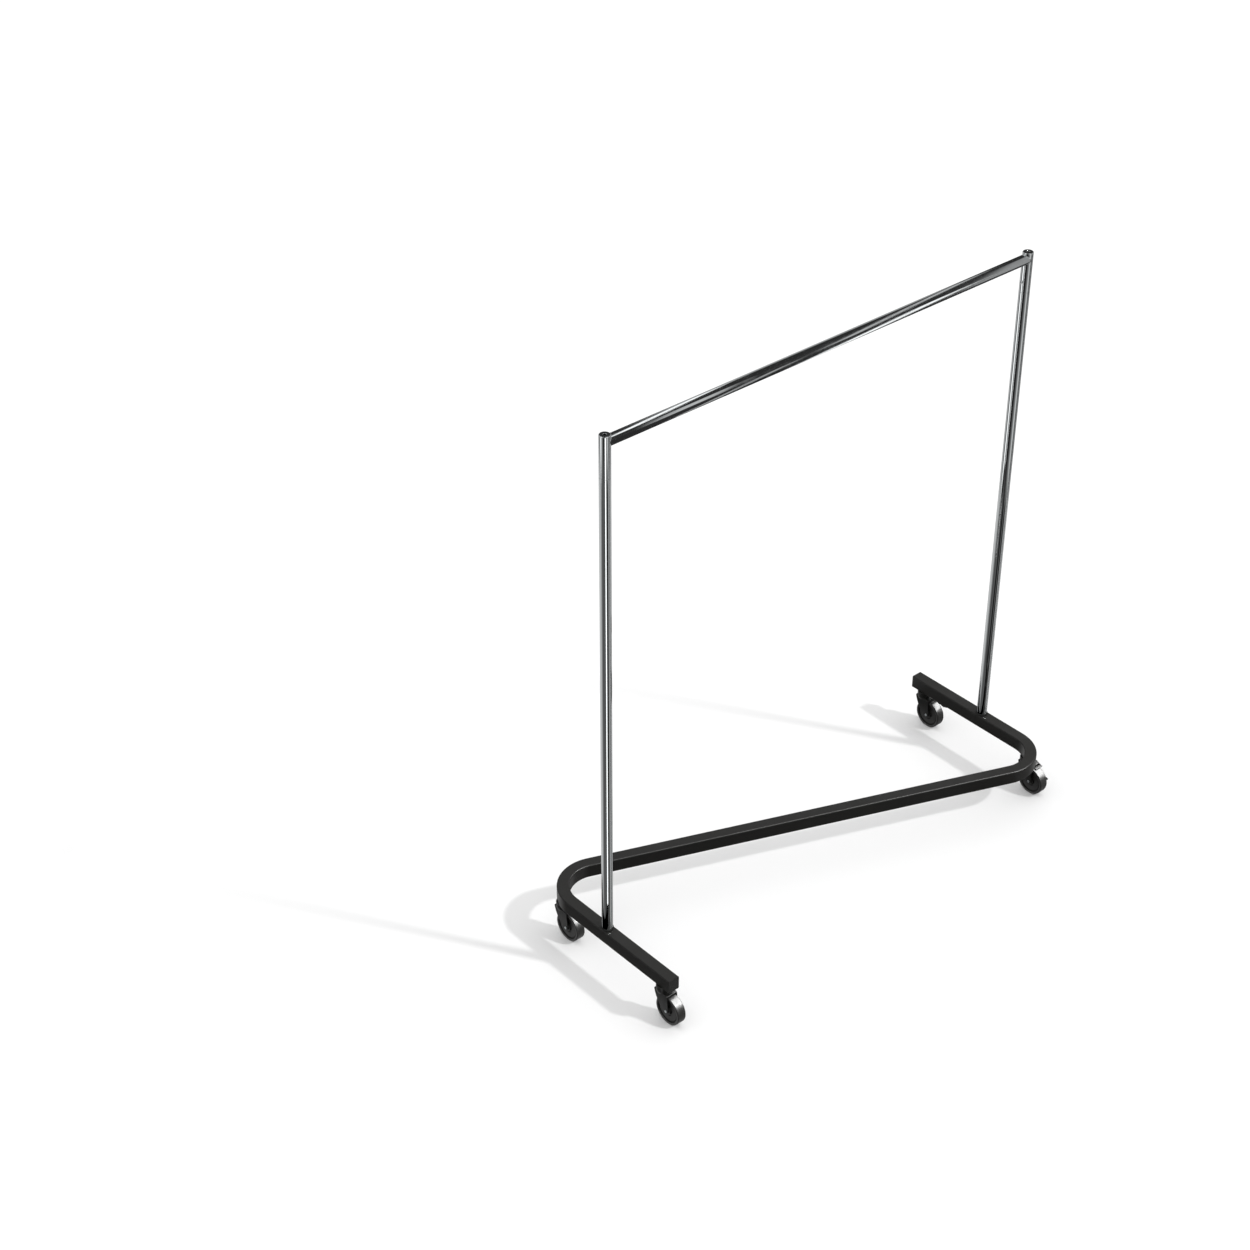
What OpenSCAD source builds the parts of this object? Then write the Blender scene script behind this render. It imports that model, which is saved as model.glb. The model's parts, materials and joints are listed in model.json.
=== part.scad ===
// Garment rail on four swivel casters, with a nesting Z-shaped base.
// Millimetres. X runs along the hanging bar, Y along the legs, Z up from the floor.
// The origin is on the floor, at the middle of the base.

/* [Rail] */
// Overall width over the two legs
rail_w = 1500; // [1200:10:1800]
// Height from the floor to the tops of the uprights
rail_h = 1660; // [1300:10:2000]
// Outer diameter of the uprights
post_d = 30; // [30:0.5:38]
// Wall of the uprights
post_wall = 1.5; // [1:0.1:2.5]
// Outer diameter of the hanging bar
bar_d = 29; // [20:0.5:29.5]
// Wall of the hanging bar
bar_wall = 1.5; // [1:0.1:2.5]
// From the upright tops down to the middle of the bar
bar_drop = 20; // [18:1:40]
// From the upright tops down to the joint line
joint_drop = 115; // [100:1:200]

/* [Base] */
// Width of the base tube
tube_w = 35; // [30:1:45]
// Height of the base tube
tube_h = 40; // [30:1:50]
// Wall of the base tube
tube_wall = 2; // [1.5:0.1:3]
// Outer edge radius of the base tube
tube_edge = 3; // [2.5:0.5:5]
// From the middle of the base to the free end of each leg
leg_reach = 265; // [220:5:330]
// Angle between the long base bar and the hanging bar
bar_angle = 22; // [18:0.5:24]
// Centreline radius of the two bends
bend_r = 100; // [70:5:110]

/* [Casters] */
// Wheel diameter over the tyre
wheel_d = 88; // [70:1:100]
// Width of the tyre
tyre_w = 27; // [22:1:32]
// Thickness of the tyre
tyre_t = 8; // [5:0.5:12]
// From the top of the wheel to the underside of the base tube
wheel_gap = 25; // [24:1:35]
// From the swivel axis back to the axle
trail = 28; // [22:1:34]
// Diameter of the swivel head
head_d = 43; // [42:1:52]
// Diameter of the threaded stem
stem_d = 10; // [8:1:12]
// Diameter of the axle
axle_d = 6; // [5:0.5:8]
// From a leg's free end to its caster's swivel axis
caster_inset = 38; // [32:1:60]
// Place of the corner casters along the bend
caster_turn = 29; // [20:1:40]

/* [Brakes] */
// Angle that a brake lever lifts from locked to free
brake_swing = 30; // [20:1:32]
// From the axle back to the lever's tip
lever_reach = 40; // [39:1:44]

/* [Fittings] */
// Diameter of the bolt under each upright
bolt_d = 8; // [6:1:10]
// Diameter of the snap buttons
button_d = 8; // [6:0.5:9]
// How far a snap button stands out of the upright
button_out = 2.5; // [2:0.1:3.5]
// Diameter of the hole in each top cap
cap_hole_d = 8.5; // [5:0.5:12]

/* [Hidden] */

$fn = 64;
left = -1;
right = 1;
through = 1;           // how far a cutting shape passes the face it cuts
run_fit = 0.08;        // radial clearance of a running fit
part_gap = 0.4;        // gap between pieces that move past each other
bolt_gap = 0.2;        // radial clearance of a bolt in a plain hole

// Heights
caster_h = wheel_d + wheel_gap;
base_top = caster_h + tube_h;
joint_z = rail_h - joint_drop;
bar_z = rail_h - bar_drop;

// Base plan
post_x = (rail_w - tube_w) / 2;
turn = 90 + bar_angle;
tangent_len = bend_r * tan(turn / 2);
bend_x = post_x - bend_r;
bend_y = post_x * tan(bar_angle) - tangent_len;
straight_half = post_x / cos(bar_angle) - tangent_len;
bend_swell = 0.01;
bend_lap = 0.5;

// Leg caps
cap_plate = 3;
cap_plug_len = 14;
cap_wall = 2;

// Upright feet
ring_wall = 2.5;
ring_h = 4;
ring_floor = 1;
foot_z = base_top + ring_floor;
plug_len = 24;
washer_d = 2 * bolt_d;
washer_t = 1.6;
bolt_flats = 1.6 * bolt_d;
bolt_head = 0.65 * bolt_d;

// Joint between the uprights and the top section
post_r = post_d / 2;
post_bore_r = post_r - post_wall;
joint_gap = 0.5;
spigot_wall = 1.5;
spigot_down = 60;
spigot_up = 52;
button_up = 31;        // from the joint line up to the button
button_z = joint_z + button_up;
button_flange = 1.4;
button_flange_r = button_d / 2 + 1.2;
spring_t = 0.8;
spring_w = 8;
spring_leg = 26;
spigot_bore_r = post_bore_r - spigot_wall;
flange_x = sqrt(pow(spigot_bore_r, 2) - pow(button_flange_r, 2)) - part_gap;

// Top caps
top_plate = 3;
top_plug = 12;
top_bevel = 1.2;

// Casters
wheel_r = wheel_d / 2;
rim_r = wheel_r - tyre_t;
head_r = head_d / 2;
head_t = 8;            // fixed half of the swivel head
swivel_gap = 0.6;
fork_top = caster_h - head_t - swivel_gap;
skirt_h = 7.4;         // straight skirt of the fork's head
crown_top = fork_top - skirt_h;
slot_w = tyre_w + 3;
cheek = 3;
fork_w = slot_w + 2 * cheek;
tyre_clear = 3;
arch_r = wheel_r + tyre_clear;
boss_r = 8;
crown_back = trail + 3;
crown_front = head_r - 2.5;
nose_angle = -60;      // where the cheek's front edge runs into the boss
nose_pull = 40;        // how full that front edge is
shoulder_h = 13;
king_r = 4;
king_head_r = 7;
king_head_t = 2.2;
king_floor = crown_top - 9.6;
ball_r = 2;
ball_ring_r = 15;
ball_count = 16;
race_gap = 0.1;
stem_up = 22;
nut_flats = 1.6 * stem_d;
nut_t = 8;
nut_lift = 2 * bend_swell; // weld seam under the nuts
axle_r = axle_d / 2;
axle_head_r = axle_r + 1;
axle_head_t = 1.8;
bush_r = axle_r + 2;
bush_half = slot_w / 2 - part_gap;
hub_r = 12;
hub_half = bush_half - 0.4;
ring_out_r = 17;
web_half = tyre_w / 2 - 3;
groove_half = web_half - 2;
groove_w = 2;
tyre_edge = 3;

// Brake levers, seen from the swivel axis
pivot_y = -trail + 8;
pivot_z = wheel_r + 48;
pivot_r = 2.5;
lever_x = fork_w / 2 + part_gap;
lever_t = 2.5;
lever_eye_r = 6;
lever_arm_r = wheel_r - 2;
lever_arm_w = 9;
lever_arm_to = 148;    // where the arm leaves its arc for the tip
lever_tip_z = wheel_r + 12;
lever_tip_r = 3.5;
tab_inner_x = tyre_w / 2 + 1.1;
tab_t = 3.5;
shoe_from = 8;
shoe_to = 18;
shoe_t = 3;
shoe_gap = 0.6;
shoe_inner_x = -6;
pin_depth = 10;
pin_head_r = 4;
pin_head_t = 1.4;

// Swivel axes of the four casters
left_front = [-post_x, -(leg_reach - caster_inset)];
right_rear = -left_front;
right_front = [bend_x + bend_r * cos(caster_turn), -bend_y - bend_r * sin(caster_turn)];
left_rear = -right_front;
caster_places = [left_front, left_rear, right_front, right_rear];

function arc(c, r, from, to, steps) =
    [for (i = [0 : steps]) c + r * [cos(from + (to - from) * i / steps), sin(from + (to - from) * i / steps)]];

function curve(p, q, r, steps) =
    [for (i = [0 : steps]) let (t = i / steps) (1 - t) * (1 - t) * p + 2 * t * (1 - t) * q + t * t * r];

function round_box(w, h, r) = concat(
    arc([w / 2 - r, h / 2 - r], r, 0, 90, 4), arc([r - w / 2, h / 2 - r], r, 90, 180, 4),
    arc([r - w / 2, r - h / 2], r, 180, 270, 4), arc([w / 2 - r, r - h / 2], r, 270, 360, 4));

// ---- base ----

// The base tube's path, filled with a section w by h; it passes each leg's end by extra.
// The bends stand proud of the straights by bend_swell, and the straights run into them.
module base_path(w, h, edge, extra) {
    straight = round_box(w - 2 * bend_swell, h - 2 * bend_swell, edge);
    translate([0, 0, caster_h + tube_h / 2]) {
        rotate([0, 0, -bar_angle]) rotate([90, 0, 90])
            linear_extrude(2 * (straight_half + bend_lap), center = true) polygon(straight);
        for (side = [0, 180]) rotate([0, 0, side]) {
            translate([bend_x, -bend_y, 0]) rotate([0, 0, -turn]) rotate_extrude(angle = turn, $fn = 120)
                translate([bend_r, 0]) polygon(round_box(w, h, edge));
            translate([post_x, -bend_y - bend_lap, 0]) rotate([-90, 0, 0])
                linear_extrude(bend_y + bend_lap + leg_reach - cap_plate + extra) polygon(straight);
        }
    }
}

module base_tube() {
    color([0.07, 0.07, 0.07]) difference() {
        base_path(tube_w, tube_h, tube_edge, 0);
        base_path(tube_w - 2 * tube_wall, tube_h - 2 * tube_wall, tube_edge - tube_wall, through);
        for (side = [left, right]) translate([side * post_x, 0, caster_h - through])
            cylinder(h = tube_h + 2 * through, r = bolt_d / 2 + bolt_gap);
        for (place = caster_places) translate([place.x, place.y, caster_h - through])
            cylinder(h = tube_wall + 2 * through, r = stem_d / 2 + bolt_gap);
    }
}

// Plug for the right leg's free end; the left one is the same turned half round
module leg_cap() {
    plug_w = tube_w - 2 * tube_wall - 2 * bolt_gap;
    plug_h = tube_h - 2 * tube_wall - 2 * bolt_gap;
    color([0.09, 0.09, 0.09]) translate([post_x, leg_reach - cap_plate, caster_h + tube_h / 2])
        rotate([-90, 0, 0]) {
            linear_extrude(cap_plate) polygon(round_box(tube_w, tube_h, tube_edge));
            translate([0, 0, -cap_plug_len]) linear_extrude(cap_plug_len) difference() {
                square([plug_w, plug_h], center = true);
                square([plug_w - 2 * cap_wall, plug_h - 2 * cap_wall], center = true);
            }
        }
}

module caster_weld_nuts() {
    color([0.6, 0.6, 0.58]) for (place = caster_places)
        translate([place.x, place.y, caster_h + tube_wall + nut_lift]) difference() {
            cylinder(h = nut_t, d = nut_flats / cos(30), $fn = 6);
            translate([0, 0, -through]) cylinder(h = nut_t + 2 * through, r = stem_d / 2);
        }
}

// ---- upright feet ----

module foot_washers() {
    color([0.7, 0.7, 0.7]) for (side = [left, right])
        translate([side * post_x, 0, caster_h - washer_t]) difference() {
            cylinder(h = washer_t, d = washer_d);
            translate([0, 0, -through]) cylinder(h = washer_t + 2 * through, r = bolt_d / 2 + bolt_gap);
        }
}

module foot_bolts() {
    head_low = caster_h - washer_t - bolt_head;
    color([0.6, 0.6, 0.6]) for (side = [left, right]) translate([side * post_x, 0, head_low]) {
        cylinder(h = bolt_head, d = bolt_flats / cos(30), $fn = 6);
        cylinder(h = foot_z + plug_len - 4 - head_low, d = bolt_d);
    }
}

module foot_ring(side) {
    color([0.08, 0.08, 0.08]) translate([side * post_x, 0, base_top]) difference() {
        cylinder(h = ring_h, r = post_r + ring_wall);
        translate([0, 0, ring_floor]) cylinder(h = ring_h, r = post_r);
        translate([0, 0, -through]) cylinder(h = ring_h, r = bolt_d / 2 + bolt_gap);
    }
}

module foot_plug(side) {
    color([0.55, 0.55, 0.53]) translate([side * post_x, 0, foot_z]) difference() {
        cylinder(h = plug_len, r = post_bore_r);
        translate([0, 0, -through]) cylinder(h = plug_len + 2 * through, d = bolt_d);
    }
}

// ---- uprights and top section ----

module post(side, low, high) {
    translate([side * post_x, 0, low]) difference() {
        cylinder(h = high - low, r = post_r);
        translate([0, 0, -through]) cylinder(h = high - low + 2 * through, r = post_bore_r);
    }
}

// Round hole for a snap button, on the upright's inner side
module button_hole(side) {
    translate([side * post_x, 0, button_z]) rotate([0, -90 * side, 0])
        cylinder(h = post_d, r = button_d / 2 + run_fit);
}

module upright(side) {
    color([0.82, 0.83, 0.84]) post(side, foot_z, joint_z);
}

module spigot(side) {
    color([0.6, 0.6, 0.6]) difference() {
        translate([side * post_x, 0, joint_z - spigot_down]) difference() {
            cylinder(h = spigot_down + spigot_up, r = post_bore_r);
            translate([0, 0, -through])
                cylinder(h = spigot_down + spigot_up + 2 * through, r = spigot_bore_r);
        }
        button_hole(side);
    }
}

// Domed button with an inner flange; it points at the other upright
module snap_button(side) {
    tip = post_r + button_out;
    dome = 1.4;
    color([0.8, 0.81, 0.82]) translate([side * post_x, 0, button_z]) rotate([0, -90 * side, 0])
        rotate_extrude() polygon(concat(
            [[0, flange_x - button_flange], [button_flange_r, flange_x - button_flange],
             [button_flange_r, flange_x], [button_d / 2, flange_x]],
            [for (i = [0 : 6]) let (a = 90 * i / 6)
                [button_d / 2 - dome + dome * cos(a), tip - dome + dome * sin(a)]],
            [[0, tip]]));
}

// Folded leaf spring behind the button, between its flange and the far wall of the spigot
module button_spring(side) {
    near = flange_x - button_flange;
    far = -sqrt(pow(spigot_bore_r, 2) - pow(spring_w / 2, 2)) + part_gap;
    color([0.7, 0.7, 0.72]) translate([side * post_x, 0, button_z]) rotate([0, 0, side > 0 ? 180 : 0])
        rotate([90, 0, 0]) linear_extrude(spring_w, center = true) polygon([
            [near, button_flange_r], [near, -button_flange_r], [0, -spring_leg], [far, -button_flange_r],
            [far, button_flange_r], [far + spring_t, button_flange_r], [far + spring_t, -button_flange_r],
            [0, -spring_leg + 3 * spring_t], [near - spring_t, -button_flange_r],
            [near - spring_t, button_flange_r]]);
}

module top_post(side) {
    color([0.82, 0.83, 0.84]) difference() {
        post(side, joint_z + joint_gap, rail_h - top_plate);
        button_hole(side);
    }
}

module top_cap(side) {
    color([0.8, 0.81, 0.82]) translate([side * post_x, 0, rail_h]) rotate_extrude() polygon([
        [cap_hole_d / 2, -top_plate - top_plug], [post_bore_r, -top_plate - top_plug],
        [post_bore_r, -top_plate], [post_r, -top_plate], [post_r, -top_bevel],
        [post_r - top_bevel, 0], [cap_hole_d / 2, 0]]);
}

// The bar's ends are coped to sit on the uprights
module hanging_bar() {
    color([0.82, 0.83, 0.84]) difference() {
        translate([-post_x, 0, bar_z]) rotate([0, 90, 0]) cylinder(h = 2 * post_x, d = bar_d);
        translate([-post_x - through, 0, bar_z]) rotate([0, 90, 0])
            cylinder(h = 2 * (post_x + through), d = bar_d - 2 * bar_wall);
        for (side = [left, right]) translate([side * post_x, 0, bar_z - bar_d])
            cylinder(h = 2 * bar_d, r = post_r);
    }
}

// ---- casters, each drawn with its swivel axis at the origin and its wheel trailing to -Y ----

module at_caster(place) {
    translate([place.x, place.y, 0]) children();
}

module at_axle() {
    translate([0, -trail, wheel_r]) rotate([0, 90, 0]) children();
}

module ball_race(clearance) {
    translate([0, 0, caster_h - head_t - swivel_gap / 2]) rotate_extrude()
        translate([ball_ring_r, 0]) circle(r = ball_r + clearance, $fn = 32);
}

// Threaded stem, fixed upper half of the swivel head and kingpin
module stem() {
    king_low = king_floor - part_gap - king_head_t;
    color([0.08, 0.08, 0.08]) difference() {
        union() {
            translate([0, 0, caster_h - head_t]) cylinder(h = head_t, r = head_r);
            translate([0, 0, caster_h]) cylinder(h = stem_up, d = stem_d);
            translate([0, 0, king_low]) cylinder(h = caster_h - head_t - king_low, r = king_r);
            translate([0, 0, king_low]) cylinder(h = king_head_t, r = king_head_r);
        }
        ball_race(race_gap);
    }
}

module balls() {
    color([0.75, 0.75, 0.75]) for (i = [0 : ball_count - 1]) rotate([0, 0, 360 * i / ball_count])
        translate([ball_ring_r, 0, caster_h - head_t - swivel_gap / 2]) sphere(r = ball_r, $fn = 32);
}

// Side view of the fork, as [y, z]
function fork_side() =
    let (axle = [-trail, wheel_r],
         nose = axle + boss_r * [cos(nose_angle), sin(nose_angle)],
         bend = nose + nose_pull * [-sin(nose_angle), cos(nose_angle)])
    concat([[-crown_back, crown_top - 2], [-head_r + 3, crown_top]],
        curve([crown_front, crown_top], bend, nose, 10),
        arc(axle, boss_r, nose_angle - 12, -180, 9));

module fork() {
    color([0.08, 0.08, 0.08]) difference() {
        union() {
            translate([0, 0, crown_top]) cylinder(h = skirt_h, r = head_r);
            translate([0, 0, crown_top - shoulder_h])
                cylinder(h = shoulder_h, r1 = fork_w / 2 - 1, r2 = head_r);
            rotate([90, 0, 90]) linear_extrude(fork_w, center = true) polygon(fork_side());
        }
        translate([-slot_w / 2, 0, 0]) translate([0, -trail, wheel_r]) rotate([0, 90, 0])
            cylinder(h = slot_w, r = arch_r, $fn = 128);
        translate([0, 0, king_floor - 2 * shoulder_h])
            cylinder(h = 2 * shoulder_h, r = king_head_r + 2 * part_gap);
        cylinder(h = caster_h, r = king_r + run_fit);
        ball_race(race_gap);
        at_axle() cylinder(h = fork_w + 2 * through, r = axle_r, center = true);
    }
}

module axle() {
    color([0.7, 0.72, 0.72]) at_axle() for (end = [0, 180]) rotate([end, 0, 0]) rotate_extrude() polygon([
        [0, 0], [axle_r, 0], [axle_r, fork_w / 2], [axle_head_r, fork_w / 2],
        [axle_head_r, fork_w / 2 + axle_head_t / 2], [axle_head_r - 1.2, fork_w / 2 + axle_head_t],
        [0, fork_w / 2 + axle_head_t]]);
}

module bush() {
    color([0.6, 0.6, 0.6]) at_axle() difference() {
        cylinder(h = 2 * bush_half, r = bush_r, center = true);
        cylinder(h = 2 * bush_half + through, r = axle_r + run_fit, center = true);
    }
}

module wheel() {
    half = [[bush_r, hub_half], [hub_r - 1, hub_half], [hub_r, hub_half - 1], [hub_r + 1, groove_half],
        [ring_out_r - 1, groove_half], [ring_out_r, web_half], [rim_r - groove_w - 1, web_half],
        [rim_r - groove_w, groove_half], [rim_r, groove_half]];
    other = [for (i = [len(half) - 1 : -1 : 0]) [half[i].x, -half[i].y]];
    color([0.1, 0.1, 0.1]) at_axle() rotate_extrude($fn = 96) polygon(concat(half, other));
}

module tyre() {
    half = concat([[rim_r, web_half + 1], [rim_r + 1, tyre_w / 2 - 0.4], [rim_r + 2.5, tyre_w / 2]],
        [for (i = [0 : 5]) let (a = 90 - 18 * i)
            [wheel_r - tyre_edge + tyre_edge * cos(a), tyre_w / 2 - tyre_edge + tyre_edge * sin(a)]]);
    other = [for (i = [len(half) - 1 : -1 : 0]) [half[i].x, -half[i].y]];
    color([0.05, 0.05, 0.05]) at_axle() rotate_extrude($fn = 128) polygon(concat(half, other));
}

// Foot lever outside the right cheek: its arm follows the tyre's edge to a tip with a small tab, and
// a short shoe reaches over the tyre. lift is 0 when the shoe is down on the tyre.
module brake_lever(lift) {
    eye = [pivot_y, pivot_z];
    tip = [-trail - lever_reach + lever_tip_r, lever_tip_z];
    axle = [-trail, wheel_r];
    middle = axle + [8, -8];
    inner_r = lever_arm_r - lever_arm_w;
    shoe_low = wheel_r + shoe_gap;
    shoe_high = shoe_low + shoe_t;
    shoe = concat(arc(axle, shoe_low, 90 + shoe_from, 90 + shoe_to, 6),
        arc(axle, shoe_high, 90 + shoe_to, 90 + shoe_from, 6));
    shoe_end = [-sin(shoe_to), cos(shoe_to)];
    color([0.08, 0.08, 0.08]) translate([0, pivot_y, pivot_z]) rotate([-lift, 0, 0])
        translate([0, -pivot_y, -pivot_z]) rotate([90, 0, 90]) difference() {
            union() {
                translate([0, 0, lever_x]) linear_extrude(lever_t) union() {
                    translate(eye) circle(r = lever_eye_r);
                    polygon(concat([tip + [-0.5, lever_tip_r - 0.1]],
                        arc(middle, lever_arm_r, lever_arm_to, 105, 10),
                        [axle + shoe_low * shoe_end, axle + shoe_high * shoe_end, eye + [0, lever_eye_r - 0.3],
                            eye + [lever_eye_r - 0.3, 0]],
                        arc(middle, inner_r, 80, lever_arm_to - 4, 12), [tip + [0.5, 0.1 - lever_tip_r]]));
                    translate(tip) circle(r = lever_tip_r);
                }
                translate([0, 0, shoe_inner_x]) linear_extrude(lever_x - shoe_inner_x + lever_t / 2)
                    polygon(shoe);
                translate([tip.x, tip.y, tab_inner_x]) linear_extrude(lever_x - tab_inner_x + lever_t / 2)
                    polygon([[-lever_tip_r + 0.3, -tab_t / 2], [1, -tab_t / 2], [1, tab_t / 2],
                        [-lever_tip_r + 0.3, tab_t / 2]]);
            }
            translate([eye.x, eye.y, lever_x - through])
                cylinder(h = lever_t + 2 * through, r = pivot_r + run_fit);
        }
}

module brake_pin() {
    outer = lever_x + lever_t + part_gap;
    color([0.7, 0.72, 0.72]) translate([0, pivot_y, pivot_z]) rotate([0, 90, 0]) {
        translate([0, 0, pin_depth]) cylinder(h = outer + pin_head_t - pin_depth, r = pivot_r);
        translate([0, 0, outer]) cylinder(h = pin_head_t, r = pin_head_r);
    }
}

// The fork of a braked caster has a hole for the lever's pin
module braked_fork() {
    color([0.08, 0.08, 0.08]) difference() {
        fork();
        translate([pin_depth, pivot_y, pivot_z]) rotate([0, 90, 0]) cylinder(h = fork_w, r = pivot_r);
    }
}

base_tube();
rotate([0, 0, 180]) leg_cap();  // left_leg_cap
leg_cap();  // right_leg_cap
caster_weld_nuts();
foot_washers();
foot_bolts();
foot_ring(left);  // left_foot_ring
foot_ring(right);  // right_foot_ring
foot_plug(left);  // left_foot_plug
foot_plug(right);  // right_foot_plug
upright(left);  // left_upright
upright(right);  // right_upright
spigot(left);  // left_spigot
spigot(right);  // right_spigot
snap_button(left);  // left_snap_button
snap_button(right);  // right_snap_button
button_spring(left);  // left_button_spring
button_spring(right);  // right_button_spring
top_post(left);  // left_top_post
top_post(right);  // right_top_post
top_cap(left);  // left_top_cap
top_cap(right);  // right_top_cap
hanging_bar();
at_caster(left_front) stem();  // left_front_stem
at_caster(left_front) balls();  // left_front_balls
at_caster(left_front) fork();  // left_front_fork
at_caster(left_front) axle();  // left_front_axle
at_caster(left_front) bush();  // left_front_bush
at_caster(left_front) wheel();  // left_front_wheel
at_caster(left_front) tyre();  // left_front_tyre
at_caster(left_rear) stem();  // left_rear_stem
at_caster(left_rear) balls();  // left_rear_balls
at_caster(left_rear) fork();  // left_rear_fork
at_caster(left_rear) axle();  // left_rear_axle
at_caster(left_rear) bush();  // left_rear_bush
at_caster(left_rear) wheel();  // left_rear_wheel
at_caster(left_rear) tyre();  // left_rear_tyre
at_caster(right_front) stem();  // right_front_stem
at_caster(right_front) balls();  // right_front_balls
at_caster(right_front) braked_fork();  // right_front_fork
at_caster(right_front) axle();  // right_front_axle
at_caster(right_front) bush();  // right_front_bush
at_caster(right_front) wheel();  // right_front_wheel
at_caster(right_front) tyre();  // right_front_tyre
at_caster(right_front) brake_lever(0);  // right_front_brake_lever
at_caster(right_front) brake_pin();  // right_front_brake_pin
at_caster(right_rear) stem();  // right_rear_stem
at_caster(right_rear) balls();  // right_rear_balls
at_caster(right_rear) braked_fork();  // right_rear_fork
at_caster(right_rear) axle();  // right_rear_axle
at_caster(right_rear) bush();  // right_rear_bush
at_caster(right_rear) wheel();  // right_rear_wheel
at_caster(right_rear) tyre();  // right_rear_tyre
at_caster(right_rear) brake_lever(brake_swing);  // right_rear_brake_lever
at_caster(right_rear) brake_pin();  // right_rear_brake_pin
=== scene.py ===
import json
import math

import bmesh
import bpy
from mathutils import Matrix, Vector

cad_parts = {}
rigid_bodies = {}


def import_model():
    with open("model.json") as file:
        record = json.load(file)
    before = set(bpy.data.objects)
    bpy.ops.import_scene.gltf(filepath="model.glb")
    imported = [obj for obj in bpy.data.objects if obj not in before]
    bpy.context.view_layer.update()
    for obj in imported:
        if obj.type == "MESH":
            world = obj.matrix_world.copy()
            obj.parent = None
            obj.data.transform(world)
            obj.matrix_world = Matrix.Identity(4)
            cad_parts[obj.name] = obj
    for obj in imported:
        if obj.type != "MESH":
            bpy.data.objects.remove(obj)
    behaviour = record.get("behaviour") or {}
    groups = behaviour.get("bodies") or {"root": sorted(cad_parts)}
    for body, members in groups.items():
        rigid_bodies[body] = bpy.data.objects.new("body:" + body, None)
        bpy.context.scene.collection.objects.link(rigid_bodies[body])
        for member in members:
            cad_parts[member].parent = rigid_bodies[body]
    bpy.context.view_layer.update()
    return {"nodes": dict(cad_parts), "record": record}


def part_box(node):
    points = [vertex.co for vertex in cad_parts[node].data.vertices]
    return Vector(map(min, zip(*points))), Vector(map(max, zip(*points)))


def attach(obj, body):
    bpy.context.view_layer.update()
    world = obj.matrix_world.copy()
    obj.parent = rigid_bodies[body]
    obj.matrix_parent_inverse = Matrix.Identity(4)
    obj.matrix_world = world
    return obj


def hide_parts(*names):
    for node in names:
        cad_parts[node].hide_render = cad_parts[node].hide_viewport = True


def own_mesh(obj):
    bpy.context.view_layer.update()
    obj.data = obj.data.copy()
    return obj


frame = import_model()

scene = bpy.context.scene
nodes = frame["nodes"]
mm = 0.001          # sizes below are millimetres, meshes are metres
axisGap = 1e-6      # an outline point nearer its axis than this is on it
merge = {"made": 1e-7, "cad": 2e-6, "flat": 0.5}    # within these metres or degrees, two count as one
casterNames = ("left_front", "left_rear", "right_front", "right_rear")

# ---- camera ----

camera = {"place": (-3.950, -3.786, 4.5255), "turn": -40.9, "down": 34.38, "lens": 71.3, "clip end": 200}


def addCamera():
    data = bpy.data.cameras.new("camera")
    data.lens = camera["lens"]
    data.clip_end = camera["clip end"]
    eye = bpy.data.objects.new("camera", data)
    eye.location = camera["place"]
    eye.rotation_euler = (math.radians(90 - camera["down"]), 0, math.radians(camera["turn"]))
    scene.collection.objects.link(eye)
    scene.camera = eye


addCamera()
print("camera placed")

# ---- helpers for nodes, meshes and pieces ----


def linear(colour):                       # sRGB hex to linear
    parts = [int(colour[i:i + 2], 16) / 255 for i in (1, 3, 5)]
    return [*(p / 12.92 if p <= 0.04045 else ((p + 0.055) / 1.055) ** 2.4 for p in parts), 1]


def addNode(tree, kind, inputs=None, **settings):
    node = tree.nodes.new(kind)
    for name, value in settings.items():
        setattr(node, name, value)
    for key, value in (inputs or {}).items():
        if isinstance(value, bpy.types.NodeSocket):
            tree.links.new(value, node.inputs[key])
        else:
            node.inputs[key].default_value = value
    return node


def newFinish(name, **sockets):           # a material and its shader, with the even values set on it
    finish = bpy.data.materials.new(name)
    finish.use_nodes = True
    tree = finish.node_tree
    shader = tree.nodes["Principled BSDF"]
    for key, value in sockets.items():
        shader.inputs[key.replace("_", " ")].default_value = value
    place = addNode(tree, "ShaderNodeTexCoord").outputs["Object"]
    return finish, tree, shader, place


def roundedLine(corners, closed, steps=5):    # corners are (radius, height, corner rounding)
    points = []
    count = len(corners)
    for i, (x, y, rounding) in enumerate(corners):
        here = Vector((x, y))
        if rounding <= 0 or (not closed and i in (0, count - 1)):
            points.append(here)
            continue
        before = Vector(corners[i - 1][:2]) - here
        after = Vector(corners[(i + 1) % count][:2]) - here
        half = before.angle(after) / 2
        reach = min(rounding / math.tan(half), 0.49 * before.length, 0.49 * after.length)
        radius = reach * math.tan(half)
        middle = here + (before.normalized() + after.normalized()).normalized() * radius / math.sin(half)
        first = here + before.normalized() * reach - middle
        last = here + after.normalized() * reach - middle
        sweep = first.angle_signed(last)
        for k in range(steps + 1):
            turn = -sweep * k / steps
            points.append(middle + Matrix.Rotation(turn, 2) @ first)
    return points


def outwards(work):                       # doubles merged and faces turned outwards
    bmesh.ops.remove_doubles(work, verts=work.verts, dist=merge["made"])
    bmesh.ops.recalc_face_normals(work, faces=work.faces)
    if work.calc_volume(signed=True) < 0:
        bmesh.ops.reverse_faces(work, faces=work.faces)


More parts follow.
